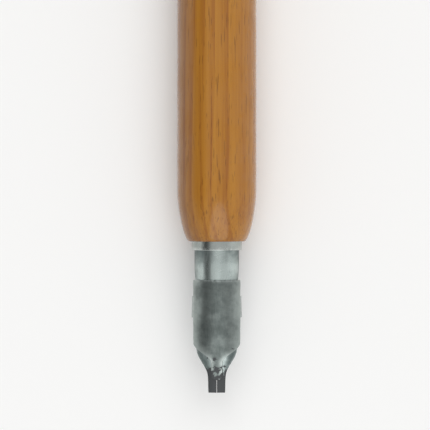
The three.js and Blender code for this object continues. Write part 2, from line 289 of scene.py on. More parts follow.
class Sketch:
    """Adds nodes to one tree and joins them, so that a finish reads as a list of steps."""

    def __init__(self, tree: bpy.types.NodeTree) -> None:
        """Keep the tree that the nodes go to."""
        self.tree = tree

    def add(self, kind: str, inputs: dict[int | str, Any], **settings: Any) -> bpy.types.Node:
        """Add a node.

        Args:
            kind: The node's type.
            inputs: What each input gets: a value of its own, or another node's output.
            settings: The node's own settings.

        Returns:
            The node.
        """
        node = self.tree.nodes.new(kind)
        for name, value in settings.items():
            setattr(node, name, value)
        self.feed(node, inputs)
        return node

    def feed(self, node: bpy.types.Node, inputs: dict[int | str, Any]) -> None:
        """Give a node's inputs their values or links.

        Args:
            node: The node.
            inputs: What each input gets: a value of its own, or another node's output.
        """
        for name, value in inputs.items():
            if isinstance(value, bpy.types.NodeSocket):
                self.tree.links.new(value, node.inputs[name])
            else:
                node.inputs[name].default_value = value

    def effect(self, tree: bpy.types.NodeTree, inputs: dict[int | str, Any]) -> bpy.types.NodeOutputs:
        """Place a shared group with values of its own, and give its outputs."""
        return self.add("ShaderNodeGroup", inputs, node_tree=tree).outputs

    def sum_of(self, operation: str, *values: Any, clamp: bool = False) -> Socket:
        """Work out one value from others with a Math node."""
        inputs = dict(enumerate(values))
        return self.add("ShaderNodeMath", inputs, operation=operation, use_clamp=clamp).outputs[0]

    def times(self, one: Any, other: Any) -> Socket:
        """Multiply two values."""
        return self.sum_of("MULTIPLY", one, other)

    def plus(self, base: Any, value: Any, share: Any, clamp: bool = False) -> Socket:
        """Add a share of a value to a base."""
        return self.sum_of("MULTIPLY_ADD", value, share, base, clamp=clamp)

    def above_mean(self, noise: Socket) -> Socket:
        """Give how far a noise lies above its mean."""
        return self.sum_of("SUBTRACT", noise, NOISE_MEAN)

    def off(self, value: Socket, level: float) -> Socket:
        """Give how far a value lies from a level, to either side."""
        return self.sum_of("ABSOLUTE", self.sum_of("SUBTRACT", value, level))

    def scaled(self, vector: Socket, factor: Any) -> Socket:
        """Multiply a vector by one value."""
        inputs = {0: vector, "Scale": factor}
        return self.add("ShaderNodeVectorMath", inputs, operation="SCALE").outputs[0]

    def towards(self, direction: Socket, way: Triple) -> Socket:
        """Give the cosine of the angle between a direction and a way."""
        inputs = {0: direction, 1: Vector(way).normalized()}
        return self.add("ShaderNodeVectorMath", inputs, operation="DOT_PRODUCT").outputs["Value"]

    def ramp(
        self, value: Any, low: float, high: float, to_low: float = 0.0, to_high: float = 1.0
    ) -> Socket:
        """Carry a value smoothly from to_low to to_high while it goes from low to high."""
        inputs = {0: value, 1: low, 2: high, 3: to_low, 4: to_high}
        return self.add("ShaderNodeMapRange", inputs, interpolation_type="SMOOTHSTEP").outputs[0]

    def blend(self, share: Any, one: Any, other: Any, kind: str = "MIX") -> Socket:
        """Mix two colours by a share of the second, or let the second tint the first (MULTIPLY)."""
        inputs = {0: share, 6: one, 7: other}
        return self.add("ShaderNodeMix", inputs, data_type="RGBA", blend_type=kind).outputs[2]

    def between(self, share: Any, one: Any, other: Any) -> Socket:
        """Mix two values by a share of the second."""
        return self.add("ShaderNodeMix", {0: share, 2: one, 3: other}, data_type="FLOAT").outputs[0]

    def stretched(self, place: Socket, scale: Triple) -> Socket:
        """Scale a pattern's place along each axis."""
        return self.add("ShaderNodeMapping", {"Vector": place, "Scale": scale}).outputs[0]

    def moved(self, place: Socket, shift: Triple, turn: float = 0.0) -> Socket:
        """Turn a pattern's place about Z, in degrees, and then shift it."""
        inputs = {"Vector": place, "Location": shift, "Rotation": (0, 0, math.radians(turn))}
        return self.add("ShaderNodeMapping", inputs).outputs[0]

    def noise(self, place: Socket, scale: Any = 1.0, detail: float = 2.0, rough: float = 0.5) -> Socket:
        """Give soft noise from 0 to 1 with a mean of about a half."""
        inputs = {"Vector": place, "Scale": scale, "Detail": detail, "Roughness": rough}
        return self.add("ShaderNodeTexNoise", inputs).outputs[0]

    def mark(self, mark: Mark) -> Socket:
        """Give the values that the mesh keeps under this name."""
        return self.add("ShaderNodeAttribute", {}, attribute_name=mark.value).outputs["Fac"]

    def place(self) -> Socket:
        """Give the object's own coordinates in millimetres."""
        own = self.add("ShaderNodeTexCoord", {}).outputs["Object"]
        return self.stretched(own, (METRE, METRE, METRE))

    def bump(self, height: Socket, depth: float) -> Socket:
        """Give normals for a height from 0 to 1 that stands for this depth in millimetres."""
        return self.add("ShaderNodeBump", {"Height": height, "Distance": depth / METRE}).outputs[0]


def new_group(
    name: str, inputs: dict[str, float | None], outputs: Sequence[str]
) -> tuple[Sketch, dict[str, Socket], bpy.types.Node]:
    """Start a shader node group.

    Args:
        name: The group's name.
        inputs: Each input's first value, or None for a vector.
        outputs: The names of the outputs, which are all values.

    Returns:
        A sketch of the group's tree, its inputs by name, and its output node.
    """
    tree = bpy.data.node_groups.new(name, "ShaderNodeTree")
    for entry, value in inputs.items():
        kind = "NodeSocketVector" if value is None else "NodeSocketFloat"
        socket = tree.interface.new_socket(name=entry, in_out="INPUT", socket_type=kind)
        if value is not None:
            socket.default_value = value
    for entry in outputs:
        tree.interface.new_socket(name=entry, in_out="OUTPUT", socket_type="NodeSocketFloat")
    sketch = Sketch(tree)
    given = sketch.add("NodeGroupInput", {})
    result = sketch.add("NodeGroupOutput", {})
    return sketch, {entry: given.outputs[entry] for entry in inputs}, result


def streak_group() -> bpy.types.NodeTree:
    """Make the group for fine streaks along the pen, as of wood fibre or drawn metal.

    Two noises are stretched along Y, one coarse and one finer, and mixed.

    Returns:
        The group, with the streaks from 0 to 1.
    """
    finer, fine_share, noise_scale = 2.7, 0.4, 0.5
    sketch, given, result = new_group(
        "streaks along the pen", {"Place": None, "Width": 0.1, "Length": 4.0}, ["Streaks"]
    )
    across = sketch.sum_of("DIVIDE", 1.0, given["Width"])
    down = sketch.sum_of("DIVIDE", 1.0, given["Length"])
    scale = sketch.add("ShaderNodeCombineXYZ", {0: across, 1: down, 2: across}).outputs[0]
    inputs = {0: given["Place"], 1: scale}
    coarse = sketch.add("ShaderNodeVectorMath", inputs, operation="MULTIPLY").outputs[0]
    wide = sketch.noise(coarse, noise_scale)
    narrow = sketch.noise(sketch.scaled(coarse, finer), noise_scale)
    sketch.feed(result, {"Streaks": sketch.between(fine_share, wide, narrow)})
    return sketch.tree


def scuff_group() -> bpy.types.NodeTree:
    """Make the group for hairline scuffs that cross each other at random.

    Each of three noises is stretched along its own direction, and only the thin band where it
    passes its mean is kept. A slower noise breaks the lines up.

    Returns:
        The group, with the scuffs from 0 to 1.
    """
    turns_and_shifts = ((12.0, 0.0), (-33.0, 7.3), (71.0, 15.1))
    stretch, line_band = (1.6, 0.09, 1.6), 0.012
    break_scale, break_band = 0.6, (0.5, 0.62)
    sketch, given, result = new_group("hairline scuffs", {"Place": None, "Spacing": 1.0}, ["Scuffs"])
    place = sketch.scaled(given["Place"], sketch.sum_of("DIVIDE", 1.0, given["Spacing"]))
    lines: Socket | float = 0.0
    for turn, shift in turns_and_shifts:
        moved = sketch.moved(place, (shift, shift, shift), turn)
        drawn = sketch.noise(sketch.stretched(moved, stretch), detail=1.0)
        thin = sketch.ramp(sketch.off(drawn, NOISE_MEAN), 0.0, line_band, 1.0, 0.0)
        broken = sketch.ramp(sketch.noise(moved, break_scale, detail=1.0), *break_band)
        lines = sketch.sum_of("MAXIMUM", lines, sketch.times(thin, broken))
    sketch.feed(result, {"Scuffs": lines})
    return sketch.tree


def ink_group() -> bpy.types.NodeTree:
    """Make the group for a film of dried ink.

    The film covers where its cover plus blotchy noise passes a half, and it is thickest in a thin
    line along its own border, as where a drop has dried.

    Returns:
        The group, with the film and its thickness from 0 to 1.
    """
    blot_scale, blot_share, film_band = 1.1, 1.6, (0.46, 0.56)
    border_level, border_band, border_share = 0.54, 0.05, 0.4
    grain_scale, grain_share, grain_floor = 5.0, 0.5, 0.4
    sketch, given, result = new_group(
        "dried ink", {"Place": None, "Cover": 0.0}, ["Film", "Thickness"]
    )
    blots = sketch.above_mean(sketch.noise(given["Place"], blot_scale, detail=4.0, rough=0.6))
    level = sketch.plus(given["Cover"], blots, blot_share)
    film = sketch.ramp(level, *film_band)
    near = sketch.ramp(sketch.off(level, border_level), 0.0, border_band, 1.0, 0.0)
    grained = sketch.noise(given["Place"], grain_scale, detail=3.0)
    grain = sketch.plus(grain_floor, grained, grain_share)
    thickness = sketch.plus(sketch.times(film, grain), sketch.times(film, near), border_share)
    sketch.feed(result, {"Film": film, "Thickness": thickness})
    return sketch.tree


@dataclass(frozen=True)
class Effects:
    """The shader groups that more than one finish uses."""

    streaks: bpy.types.NodeTree
    scuffs: bpy.types.NodeTree
    ink: bpy.types.NodeTree

    @classmethod
    def made(cls) -> "Effects":
        """Build the groups once."""
        return cls(streak_group(), scuff_group(), ink_group())


@dataclass(frozen=True)
class SheetMetal:
    """Thin polished sheet, with drawn lines, dull patches, painted shade and highlights, bright worn rims
    and dried ink.

    Attributes:
        name: The finish's name.
        metal: The clean metal's colour.
        dull: The colour of its dull, oxidised places, and of the painted shade that its mesh's mark lays
            on.
        worn: The colour of its rims, where handling keeps it bright.
        ink: The dried ink's colour.
        rough: The clean metal's roughness.
        rough_spread: How much the drawn lines and the dull patches add to it.
        scuff_rough: How much the scuffs add to it.
        ink_rough: The dried ink's roughness.
        line_width: How wide the drawn lines are.
        line_length: How long they are.
        line_depth: How deep they are.
        line_tone: How much they colour the metal.
        line_spread: How much they share in the spread of roughness.
        cloud: How many dull patches there are to a millimetre.
        cloud_share: How strongly these patches come and go.
        dull_band: From which to which value of the patches and the painted shade the metal turns dull.
        fleck: How many flecks there are to a millimetre of a bright rim.
        fleck_band: From which to which value of their noise the flecks turn bright.
        scuff_relief: How deep the scuffs are, as a share of the lines' depth.
        ink_relief: How thick the dried ink is, as a share of the lines' depth.
    """

    name: str
    metal: str
    dull: str
    worn: str
    ink: str = "2b2f31"
    rough: float = 0.22
    rough_spread: float = 0.16
    scuff_rough: float = 0.12
    ink_rough: float = 0.38
    line_width: float = 0.07
    line_length: float = 2.4
    line_depth: float = 0.0012
    line_tone: float = 0.35
    line_spread: float = 0.8
    cloud: float = 0.55
    cloud_share: float = 1.1
    dull_band: Pair = (0.05, 0.95)
    fleck: float = 2.6
    fleck_band: Pair = (0.3, 0.6)
    scuff_relief: float = -0.8
    ink_relief: float = 5.0

    def material(self, effects: Effects) -> bpy.types.Material:
        """Build the material.

        Args:
            effects: The shared shader groups.

        Returns:
            The material.
        """
        made = bpy.data.materials.new(self.name)
        made.use_nodes = True
        sketch = Sketch(made.node_tree)
        place = sketch.place()
        lines = {"Place": place, "Width": self.line_width, "Length": self.line_length}
        streaks = sketch.effect(effects.streaks, lines)["Streaks"]
        scuffs = sketch.effect(effects.scuffs, {"Place": place})["Scuffs"]
        ink = sketch.effect(effects.ink, {"Place": place, "Cover": sketch.mark(Mark.INK)})

        clouds = sketch.above_mean(sketch.noise(place, self.cloud, detail=5.0, rough=0.62))
        # Painted light: the mark adds painted shade, and on the nib a painted highlight, to the random
        # dull patches, so these tones reach both the colour and the roughness.
        patches = sketch.plus(sketch.mark(Mark.DULL), clouds, self.cloud_share)
        dullness_and_shade = sketch.ramp(patches, *self.dull_band)
        drawn = sketch.above_mean(streaks)
        dulled_and_shaded = sketch.plus(dullness_and_shade, drawn, self.line_tone, clamp=True)
        flecks = sketch.ramp(sketch.noise(place, self.fleck, detail=3.0), *self.fleck_band)
        rim = sketch.times(sketch.mark(Mark.RIM), flecks)
        bare = sketch.blend(dulled_and_shaded, colour(self.metal), colour(self.dull))
        handled = sketch.blend(rim, bare, colour(self.worn))

        spread = sketch.plus(dullness_and_shade, drawn, self.line_spread, clamp=True)
        rough = sketch.plus(self.rough, spread, self.rough_spread)
        scuffed = sketch.plus(rough, scuffs, self.scuff_rough)
        relief = sketch.plus(streaks, scuffs, self.scuff_relief)
        height = sketch.plus(relief, ink["Thickness"], self.ink_relief)
        surface = {
            "Base Color": sketch.blend(ink["Film"], handled, colour(self.ink)),
            "Metallic": sketch.between(ink["Film"], 1.0, 0.0),
            "Roughness": sketch.between(ink["Film"], scuffed, self.ink_rough),
            "Normal": sketch.bump(height, self.line_depth),
        }
        sketch.feed(made.node_tree.nodes["Principled BSDF"], surface)
        return made


@dataclass(frozen=True)
class VarnishedWood:
    """Straight-grained wood under a clear gloss varnish, rubbed a little where the fingers hold it, with
    painted shade on its -X side and underside.

    Attributes:
        name: The finish's name.
        early: The colour of the wide, pale part of a year's ring.
        late: The colour of its narrow, dark part.
        pore: The colour of the pores and of end grain full of stain, which also paints shade on the steep
            nose and tail.
        heart: Where the tree's centre lay beside the stick, in X and Z; lying towards -X and below, it
            also places the painted side shade.
        side_shade_reach: How far from the heart the painted shade on the -X side and underside begins to
            fade, and where it ends.
        tint: The colour of that painted shade, which darkens the wood.
        ring: The width of a year's ring.
        ring_bend: How far the rings stray from round.
        bend_scale: How fast they stray along each axis.
        ring_tones: How dark late wood is between the fibre's streaks and in them.
        darkening: Over which part of a ring the wood darkens.
        paling: Over which part it turns pale again.
        fibre_width: How wide the fibre's streaks are.
        fibre_length: How long they are.
        fibre_tone: How much they darken the wood.
        drift_tone: How much slow changes along the stick darken it.
        drift_scale: How fast these changes come along each axis.
        end_grain_and_shade_tones: How much stain end grain holds between the streaks and in them; on the
            steep nose and tail this is also painted shade.
        pore_width: How wide the pores are.
        pore_length: How long they are.
        pore_band: From which to which value of their noise the pores open.
        pore_fill: How much of a pore's colour shows through the varnish.
        grain_depth: How deep fibre and pores reach.
        fibre_relief: How deep the streaks are, as a share of that.
        rough: The bare wood's roughness.
        fibre_rough: How much the streaks add to it.
        pore_rough: How much the pores add to it.
        gloss: The bare wood's specular level.
        varnish: The varnish's roughness.
        varnish_index: Its refractive index.
        grip_wear: How much more the varnish is rubbed where the fingers hold it.
        wear_scale: How many rubbed places there are to a millimetre.
        wear_band: From which to which value of their noise the wear sets in.
        wear_share: How far rubbing goes.
        matt_loss: How much of the varnish full wear takes away.
        scuff_spacing: How far apart the varnish's scuffs are.
    """

    name: str
    early: str
    late: str
    pore: str
    heart: Pair = (-46.0, -31.0)
    # Painted shade on the -X side and underside.
    side_shade_reach: Pair = (56.6, 60.4)
    tint: str = "d2cde3"
    ring: float = 1.15
    ring_bend: float = 3.2
    bend_scale: Triple = (0.16, 0.014, 0.16)
    ring_tones: Pair = (0.25, 0.5)
    darkening: Pair = (0.25, 0.86)
    paling: Pair = (0.9, 1.0)
    fibre_width: float = 0.16
    fibre_length: float = 9.0
    fibre_tone: float = 0.25
    drift_tone: float = 0.25
    drift_scale: Triple = (0.2, 0.03, 0.2)
    # End grain stain, which also paints shade on the steep nose and tail.
    end_grain_and_shade_tones: Pair = (0.35, 0.75)
    pore_width: float = 0.13
    pore_length: float = 2.2
    pore_band: Pair = (0.64, 0.72)
    pore_fill: float = 0.5
    grain_depth: float = 0.012
    fibre_relief: float = 0.5
    rough: float = 0.4
    fibre_rough: float = 0.14
    pore_rough: float = 0.2
    gloss: float = 0.05
    varnish: float = 0.14
    varnish_index: float = 1.5
    grip_wear: float = 0.16
    wear_scale: float = 0.32
    wear_band: Pair = (0.58, 0.76)
    wear_share: float = 0.35
    matt_loss: float = 0.5
    scuff_spacing: float = 1.8

    def from_heart(self, sketch: Sketch, place: Socket) -> Socket:
        """Give the distance from the tree's centre, which runs along Y.

        Args:
            sketch: The material's sketch.
            place: The place in millimetres.

        Returns:
            The distance in millimetres.
        """
        centred = sketch.moved(place, (-self.heart[0], 0.0, -self.heart[1]))
        flat = sketch.stretched(centred, (1, 0, 1))
        return sketch.add("ShaderNodeVectorMath", {0: flat}, operation="LENGTH").outputs["Value"]

    def rings(self, sketch: Sketch, place: Socket, away: Socket) -> Socket:
        """Give how dark the year's rings are.

        The rings are cylinders about the heart, and slow noise along the stick bends them. Across a
        ring the wood darkens slowly and turns pale again at once.

        Args:
            sketch: The material's sketch.
            place: The place in millimetres.
            away: The distance from the tree's centre.

        Returns:
            From 0 in the pale wood to 1 in the dark.
        """
        bend = sketch.noise(sketch.stretched(place, self.bend_scale))
        bent = sketch.plus(away, bend, self.ring_bend)
        phase = sketch.sum_of("FRACT", sketch.sum_of("DIVIDE", bent, self.ring))
        darkening = sketch.ramp(phase, *self.darkening)
        return sketch.times(darkening, sketch.ramp(phase, *self.paling, 1.0, 0.0))

    def pores(self, sketch: Sketch, place: Socket) -> Socket:
        """Give where pores lie open: short, thin spots that noise stretched along Y leaves.

        Args:
            sketch: The material's sketch.
            place: The place in millimetres.

        Returns:
            From 0 beside the pores to 1 in them.
        """
        across, down = 1 / self.pore_width, 1 / self.pore_length
        spots = sketch.noise(sketch.stretched(place, (across, down, across)), detail=1.0)
        return sketch.ramp(spots, *self.pore_band)

    def material(self, effects: Effects) -> bpy.types.Material:
        """Build the material.

        Args:
            effects: The shared shader groups.

        Returns:
            The material.
        """
        made = bpy.data.materials.new(self.name)
        made.use_nodes = True
        sketch = Sketch(made.node_tree)
        place = sketch.place()
        lines = {"Place": place, "Width": self.fibre_width, "Length": self.fibre_length}
        streaks = sketch.effect(effects.streaks, lines)["Streaks"]
        scuffed = {"Place": place, "Spacing": self.scuff_spacing}
        scuffs = sketch.effect(effects.scuffs, scuffed)["Scuffs"]
        away = self.from_heart(sketch, place)
        rings = self.rings(sketch, place, away)
        pores = self.pores(sketch, place)

        fibres = sketch.ramp(streaks, *NOISE_BAND)
        drift = sketch.noise(sketch.stretched(place, self.drift_scale), detail=3.0)
        dark = sketch.times(rings, sketch.between(fibres, *self.ring_tones))
        shade = sketch.plus(dark, fibres, self.fibre_tone)
        toned = sketch.plus(shade, sketch.ramp(drift, *NOISE_BAND), self.drift_tone, clamp=True)
        plain = sketch.blend(toned, colour(self.early), colour(self.late))
        # Painted shade: the wood is darkened on its -X side and underside, fading across the top.
        inner = sketch.ramp(away, *self.side_shade_reach, 1.0, 0.0)
        wood = sketch.blend(inner, plain, colour(self.tint), "MULTIPLY")
        # Part real end grain, part painted shade: darker where the nose and the tail face along the stick.
        ends = sketch.times(sketch.mark(Mark.END_GRAIN_AND_SHADE), sketch.between(fibres, *self.end_grain_and_shade_tones))
        stained_and_shaded = sketch.blend(ends, wood, colour(self.pore))

        spotty = sketch.noise(place, self.wear_scale, detail=4.0)
        worn = sketch.plus(spotty, sketch.mark(Mark.GRIP), self.grip_wear)
        rubbed = sketch.times(sketch.ramp(worn, *self.wear_band), self.wear_share)
        matt = sketch.sum_of("MAXIMUM", rubbed, scuffs)
        rough = sketch.plus(self.rough, fibres, self.fibre_rough)
        height = sketch.sum_of("SUBTRACT", sketch.times(streaks, self.fibre_relief), pores)
        filled = sketch.times(pores, self.pore_fill)
        surface = {
            "Base Color": sketch.blend(filled, stained_and_shaded, colour(self.pore)),
            "Roughness": sketch.plus(rough, pores, self.pore_rough),
            "Specular IOR Level": self.gloss,
            "Coat Weight": sketch.plus(1.0, matt, -self.matt_loss),
            "Coat Roughness": self.varnish,
            "Coat IOR": self.varnish_index,
            "Normal": sketch.bump(height, self.grain_depth),
        }
        sketch.feed(made.node_tree.nodes["Principled BSDF"], surface)
        return made


@dataclass(frozen=True)
class Datum:
    """Where the frame puts the pen's pieces, in millimetres."""

    axis: float
    radius: float
    wood_front: float
    wood_back: float
    rim: float
    writing_edge: float

    @classmethod
    def from_frame(cls) -> "Datum":
        """Read the places from the boxes of the frame's nodes."""
        wood_low, wood_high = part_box("wooden_holder")
        return cls(
            axis=(wood_low.z + wood_high.z) / 2 * METRE,
            radius=(wood_high.z - wood_low.z) / 2 * METRE,
            wood_front=wood_low.y * METRE,
            wood_back=wood_high.y * METRE,
            rim=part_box("ferrule_tube")[0].y * METRE,
            writing_edge=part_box("nib")[0].y * METRE,
        )


def settle(
    piece: bpy.types.Object, node: str, body: Body, finish: bpy.types.Material
) -> bpy.types.Object:
    """Dress a piece, hide the frame's node that it replaces, and hang it on the body that it rides on.

    Args:
        piece: The piece.
        node: The frame's node that it replaces.
        body: The body that it rides on.
        finish: Its material.

    Returns:
        The piece.
    """
    piece.data.materials.append(finish)
    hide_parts(node)
    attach(piece, body.value)
    return piece


@dataclass
class TurnedHolder:
    """The wooden holder: one turned stick, bored for the ferrule and varnished."""

    datum: Datum
    effects: Effects
    bore_radius: float = 2.9
    bore_depth: float = 15.95
    drill_point: float = 118.0
    mouth_round: float = 0.1
    nose_length: float = 5.6
    nose_lip: float = 0.3
    nose_fullness: float = 1.55
    barrel_end: float = 100.0
    barrel_step: float = 1.5
    tail_radius: float = 3.2
    tail_curve: float = 0.35
    tail_dome: float = 3.2
    back_face_radius: float = 1.3
    grip_middle: float = 12.0
    grip_reach: float = 14.0
    lip_turn: float = 0.06
    turns: int = 144
    ripple_height: float = 0.006
    waves: tuple[Triple, ...] = (
        (0.31, 1, 0.0), (0.17, 2, 1.3), (0.53, 0, 2.1), (0.12, 3, 0.7), (0.71, 1, 4.0)
    )
    finish: VarnishedWood = VarnishedWood("varnished wood", "b87f28", "92571a", "553010")

    def bore(self) -> Array:
        """Give the bore's outline: the drill's point, the wall, and a quarter round at the mouth.

        Returns:
            Radius and place along the holder, one row each.
        """
        point = self.bore_radius / math.tan(math.radians(self.drill_point / 2))
        turn = np.linspace(0, np.pi / 2, 5)
        mouth_radius = self.bore_radius + self.mouth_round * (1 - np.cos(turn))
        mouth = np.stack([mouth_radius, self.mouth_round * (1 - np.sin(turn))], axis=1)
        wall = np.linspace(self.bore_depth, self.mouth_round, 10)
        sides = np.stack([np.full_like(wall, self.bore_radius), wall], axis=1)
        return np.concatenate([[[0, self.bore_depth + point]], sides, mouth[1:]])

    def nose(self) -> Array:
        """Give the nose's outline, a superellipse from the lip to the barrel.

        The swell is (1 - share^n)^(1/n) of the way out, where share is what is left of the nose's
        length and n its fullness. Its places are a cosine's, which lie close together at both ends,
        and the first is a small turn past the lip.

        Returns:
            Radius and place along the holder, one row each.
        """
        lip = self.bore_radius + self.nose_lip
        share = (1 + np.cos(np.linspace(self.lip_turn, np.pi, 56))) / 2
        swell = (1 - share**self.nose_fullness) ** (1 / self.nose_fullness)
        radius = lip + (self.datum.radius - lip) * swell
        return np.stack([radius, self.nose_length * (1 - share)], axis=1)

    def tail(self) -> Array:
        """Give the tail's outline: a taper that steepens, a quarter-ellipse dome, and a flat.

        Returns:
            Radius and place along the holder, one row each.
        """
        length = self.datum.wood_back - self.datum.wood_front
        dome_start = length - self.tail_dome
        share = np.linspace(0, 1, 57)
        fall = share * (1 - self.tail_curve) + share**2 * self.tail_curve
        taper_radius = self.datum.radius + (self.tail_radius - self.datum.radius) * fall
        taper_along = self.barrel_end + (dome_start - self.barrel_end) * share
        turn = np.linspace(0, np.pi / 2, 25)[1:]
        dome_radius = self.back_face_radius + (self.tail_radius - self.back_face_radius) * np.cos(turn)
        dome_along = dome_start + self.tail_dome * np.sin(turn)
        taper = np.stack([taper_radius, taper_along], axis=1)
        dome = np.stack([dome_radius, dome_along], axis=1)
        return np.concatenate([taper, dome, [[self.back_face_radius / 2, length], [0, length]]])

    def ripple(self, profile: Array) -> Array:
        """Give the slight unevenness that sanding leaves on the turned outside.

        It is a mean of cosines, each with its rate along the stick, its whole waves round it and its
        phase, and it fades at the lip.

        Args:
            profile: Radius and place along the holder, one row each.

        Returns:
            What is added to the radius, for each row and each turn.
        """
        turn = 2 * np.pi * np.arange(self.turns) / self.turns
        along = profile[:, 1:]
        total = sum(np.cos(rate * along + rounds * turn + phase) for rate, rounds, phase in self.waves)
        outside = np.clip((profile[:, :1] - self.bore_radius - self.nose_lip) / self.nose_lip, 0, 1)
        return self.ripple_height * total / len(self.waves) * outside

    def wear(self, profile: Array) -> dict[Mark, Array]:
        """Give where end grain lies open, whose stain also paints shade on the steep nose and tail, and
        where the fingers rub the varnish.

        End grain shows by how far the surface leans from the axis: the outline's slope in radius
        over its whole slope, squared. The grip is a bell curve about its middle.

        Args:
            profile: Radius and place along the holder, one row each.

        Returns:
            The marks for each row of the outline.
        """
        slope = np.gradient(profile, axis=0)
        lean = slope[:, 0] / np.maximum(np.hypot(slope[:, 0], slope[:, 1]), 1e-6)
        grip = np.exp(-(((profile[:, 1] - self.grip_middle) / self.grip_reach) ** 2))
        return {Mark.END_GRAIN_AND_SHADE: lean**2, Mark.GRIP: grip}

    def build(self) -> list[bpy.types.Object]:
        """Turn the holder on the lathe and dress it.

        Returns:
            The holder, as a list of one piece.
        """
        along = np.arange(self.nose_length, self.barrel_end, self.barrel_step)[1:]
        barrel = np.stack([np.full_like(along, self.datum.radius), along], axis=1)
        profile = np.concatenate([self.bore(), self.nose(), barrel, self.tail()])
        shell = lathe(profile, self.ripple(profile[1:-1]), self.wear(profile))
        piece = shell.piece("turned_holder", (0, self.datum.wood_front, self.datum.axis))
        finish = self.finish.material(self.effects)
        return [settle(piece, "wooden_holder", Body.HOLDER, finish)]


@dataclass
class FerruleInsert:
    """The rolled ferrule in the holder's nose, and the spring crown that stands in it."""

    datum: Datum
    effects: Effects
    inner_radius: float = 2.65
    wall: float = 0.2
    length: float = 16.65
    seam: float = 0.12
    bead_start: float = 15.05
    bead_length: float = 1.1
    bead_depth: float = 0.25
    lip_bend: float = 0.15
    lip_radius: float = 2.05
    crown_sheet: float = 0.2
    crown_start: float = 16.2
    crown_eye: float = 0.7
    crown_edge: float = 2.6
    leaf_count: int = 4
    leaf_wrap: float = 32.0
    leaf_start: float = 0.8
    leaf_radius: float = 2.22
    leaf_turn_in: float = 0.4
    leaf_lead_in: float = 2.2
    leaf_tip: float = 0.9
    leaf_tip_share: float = 0.45
    leaf_root_bend: float = 3.0
    leaf_root_radius: float = 1.45
    tube_round: float = 0.07
    tube_rim: float = 0.12
    # An even dullness, and painted shade that grows from the top down the sides to the underside.
    tube_dull_and_shade: Pair = (0.2, 0.3)
    crown_round: float = 0.04
    leaf_rim: float = 0.15
    leaf_dull: float = 0.45
    washer_dull: float = 0.5
    tube_columns: int = 128
    washer_columns: int = 96
    leaf_columns: int = 14
    tube_finish: SheetMetal = SheetMetal("nickel plate", "b2b8b4", "787e7a", "c8cdca", rough=0.2)
    crown_finish: SheetMetal = SheetMetal("spring steel", "959d9e", "646a6b", "b0b6b7", rough=0.26)

    def tube_path(self) -> tuple[Array, Array]:
        """Give the middle line of the ferrule's wall and the directions across it.

        The line runs back from the rim, dips at the bead by (1 - cos)/2 of its depth, goes round a
        tight bend at the back and runs in to the lip.

        Returns:
            Radius and place along the axis, one row each, and the direction outwards at each row.
        """
        middle = self.inner_radius + self.wall / 2
        end = self.length - self.wall / 2
        bead_end = self.bead_start + self.bead_length
        along = in_turn(
            np.linspace(0, self.bead_start, 40),
            np.linspace(self.bead_start, bead_end, 17),
            np.linspace(bead_end, end - self.lip_bend, 3),
        )
        share = np.clip((along - self.bead_start) / self.bead_length, 0, 1)
        radius = middle - self.bead_depth * (1 - np.cos(2 * np.pi * share)) / 2
        turn = np.linspace(0, np.pi / 2, 7)[1:]
        hub_radius, hub_along = middle - self.lip_bend, end - self.lip_bend
        bend_radius = hub_radius + self.lip_bend * np.cos(turn)
        bend_along = hub_along + self.lip_bend * np.sin(turn)
        lip_radius = np.linspace(hub_radius, self.lip_radius, 5)[1:]
        radii = np.concatenate([radius, bend_radius, lip_radius])
        places = np.concatenate([along, bend_along, np.full_like(lip_radius, end)])
        path = np.stack([radii, places], axis=1)
        slope = np.gradient(path, axis=0)
        slope /= np.linalg.norm(slope, axis=1, keepdims=True)
        return path, np.stack([slope[:, 1], -slope[:, 0]], axis=1)

    def tube(self) -> bpy.types.Object:
        """Roll the ferrule: its wall's path goes round the axis from one side of the seam to the other.

        Returns:
            The piece, not dressed yet.
        """
        path, across = self.tube_path()
        half_seam = self.seam / 2 / self.inner_radius
        turn = np.pi + np.linspace(half_seam, 2 * np.pi - half_seam, self.tube_columns + 1)

        def side(off: float) -> Array:
            """Give one side of the wall.

            Args:
                off: Its distance from the wall's middle line, outwards.

            Returns:
                The points, rows by columns by three.
            """
            line = path + across * off
            along = np.broadcast_to(line[:, 1:], (len(line), len(turn)))
            return np.stack([line[:, :1] * np.sin(turn), along, line[:, :1] * np.cos(turn)], axis=-1)

        keep = np.ones((len(path) - 1, len(turn) - 1), bool)
        from_seam = np.minimum(turn - turn[0], turn[-1] - turn) * self.inner_radius
        near = np.minimum(path[:, 1:], from_seam)
        # Painted shade: the plate darkens from its top down the sides to the underside, on top of an even
        # dullness.
        top_dull, side_shade = self.tube_dull_and_shade
        dull = np.broadcast_to(top_dull + side_shade * (1 - np.cos(turn)), near.shape)
        marks = {Mark.RIM: np.exp(-near / self.tube_rim), Mark.DULL: dull}
        shell = bent_sheet(side(self.wall / 2), side(-self.wall / 2), keep, marks)
        piece = shell.piece("rolled_ferrule", (0, self.datum.rim, self.datum.axis))
        soften(piece, self.tube_round, 3)
        return piece

    def leaf_line(self) -> tuple[Array, Array]:
        """Give the line of a leaf's outer side, from its tip to its root in the washer.

        Returns:
            The places along the ferrule, and the radius at each.
        """
        root = self.crown_start + self.crown_sheet / 2
        radius = smooth_through(
            (self.leaf_start, self.leaf_radius - self.leaf_turn_in),
            (self.leaf_start + self.leaf_lead_in, self.leaf_radius),
            (self.crown_start - self.leaf_root_bend, self.leaf_radius),
            (root, self.leaf_root_radius),
        )
        along = np.linspace(self.leaf_start, root, 60)
        return along, radius(along)

